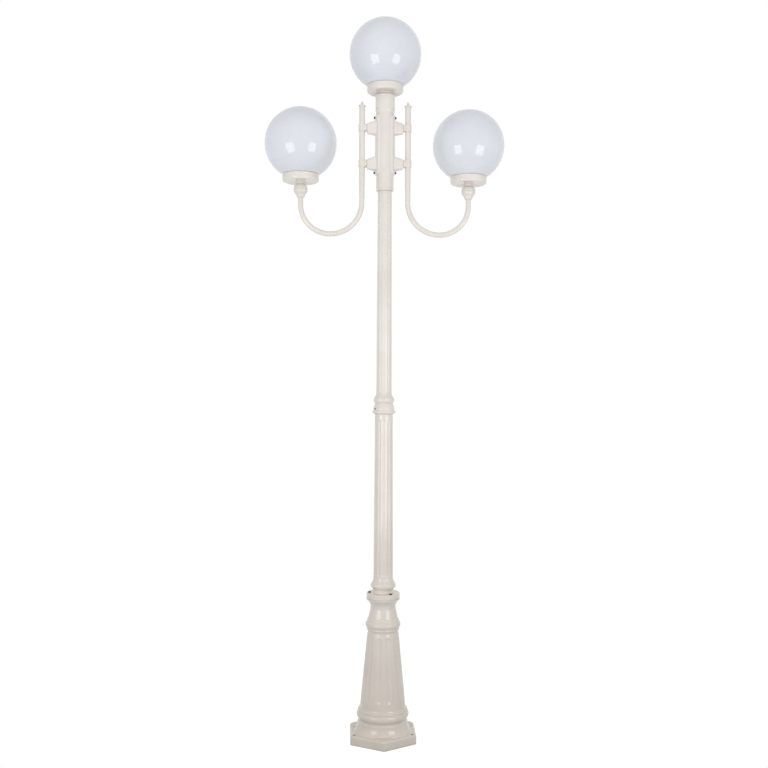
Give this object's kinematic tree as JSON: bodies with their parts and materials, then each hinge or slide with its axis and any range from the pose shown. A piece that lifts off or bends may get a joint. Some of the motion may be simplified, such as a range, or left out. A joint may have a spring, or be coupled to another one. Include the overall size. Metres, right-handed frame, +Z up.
{
  "type": "three-light lamp post",
  "caption": "Tall fluted garden lamp post on a hexagonal foot, with a round globe light on top and two more on curved side arms.",
  "frame": {"origin": "centre of the underside of the hexagonal foot, on the ground", "axes": "+Z up along the post, the two arms along -X and +X, -Y is the front, where one corner of the hexagonal foot points"},
  "size_m": [1.0019, 0.3092, 3.0055],
  "materials": {
    "cream_coat": "gloss",
    "opal_plastic": "gloss",
    "bulb_diffuser": "satin",
    "bulb_cap_metal": "satin",
    "lampholder_ceramic": "gloss",
    "gasket_rubber": "matte",
    "zinc_steel": "satin",
    "black_steel": "satin",
    "brass": "satin",
    "terminal_plastic": "matte"
  },
  "bodies": {
    "post": {"adapter_grub_screws": "zinc_steel", "arm_grub_screws_left": "black_steel", "arm_grub_screws_right": "black_steel", "arm_left": "cream_coat", "arm_right": "cream_coat", "base_casting": "cream_coat", "bracket_left": "cream_coat", "bracket_right": "cream_coat", "bracket_screws_left": "black_steel", "bracket_screws_right": "black_steel", "collar_grub_screws": "black_steel", "earth_screw": "brass", "finial_left": "cream_coat", "finial_right": "cream_coat", "flange_screws": "black_steel", "gasket_left": "gasket_rubber", "gasket_right": "gasket_rubber", "gasket_top": "gasket_rubber", "head_sleeve": "cream_coat", "holder_left": "cream_coat", "holder_right": "cream_coat", "holder_top": "cream_coat", "knuckle_cap_left": "cream_coat", "knuckle_cap_right": "cream_coat", "knuckle_socket_left": "cream_coat", "knuckle_socket_right": "cream_coat", "lampholder_left": "lampholder_ceramic", "lampholder_right": "lampholder_ceramic", "lampholder_top": "lampholder_ceramic", "lower_shaft": "cream_coat", "nipple_left": "zinc_steel", "nipple_nut_left": "zinc_steel", "nipple_nut_right": "zinc_steel", "nipple_nut_top": "zinc_steel", "nipple_right": "zinc_steel", "nipple_top": "zinc_steel", "retainer_screws_left": "zinc_steel", "retainer_screws_right": "zinc_steel", "retainer_screws_top": "zinc_steel", "shaft_collar": "cream_coat", "terminal_block": "terminal_plastic", "terminal_screws": "zinc_steel", "top_adapter": "cream_coat", "top_spacer": "cream_coat", "upper_shaft": "cream_coat"},
    "globe_top": {"globe_top": "opal_plastic"},
    "bulb_top": {"bulb_top": "bulb_diffuser", "bulb_cap_top": "bulb_cap_metal"},
    "globe_left": {"globe_left": "opal_plastic"},
    "bulb_left": {"bulb_left": "bulb_diffuser", "bulb_cap_left": "bulb_cap_metal"},
    "globe_right": {"globe_right": "opal_plastic"},
    "bulb_right": {"bulb_right": "bulb_diffuser", "bulb_cap_right": "bulb_cap_metal"}
  },
  "joints": [
    {"name": "globe_lift_top", "type": "slide", "parent": "post", "child": "globe_top", "axis": [0, 0, 1], "range_m": [0, 0.15]},
    {"name": "bulb_turn_top", "type": "hinge", "parent": "post", "child": "bulb_top", "pos_m": [0, 0, 2.728], "axis": [0, 0, 1], "continuous": true},
    {"name": "globe_lift_left", "type": "slide", "parent": "post", "child": "globe_left", "axis": [0, 0, 1], "range_m": [0, 0.15]},
    {"name": "bulb_turn_left", "type": "hinge", "parent": "post", "child": "bulb_left", "pos_m": [-0.351, 0, 2.351], "axis": [0, 0, 1], "continuous": true},
    {"name": "globe_lift_right", "type": "slide", "parent": "post", "child": "globe_right", "axis": [0, 0, 1], "range_m": [0, 0.15]},
    {"name": "bulb_turn_right", "type": "hinge", "parent": "post", "child": "bulb_right", "pos_m": [0.351, 0, 2.351], "axis": [0, 0, 1], "continuous": true}
  ]
}
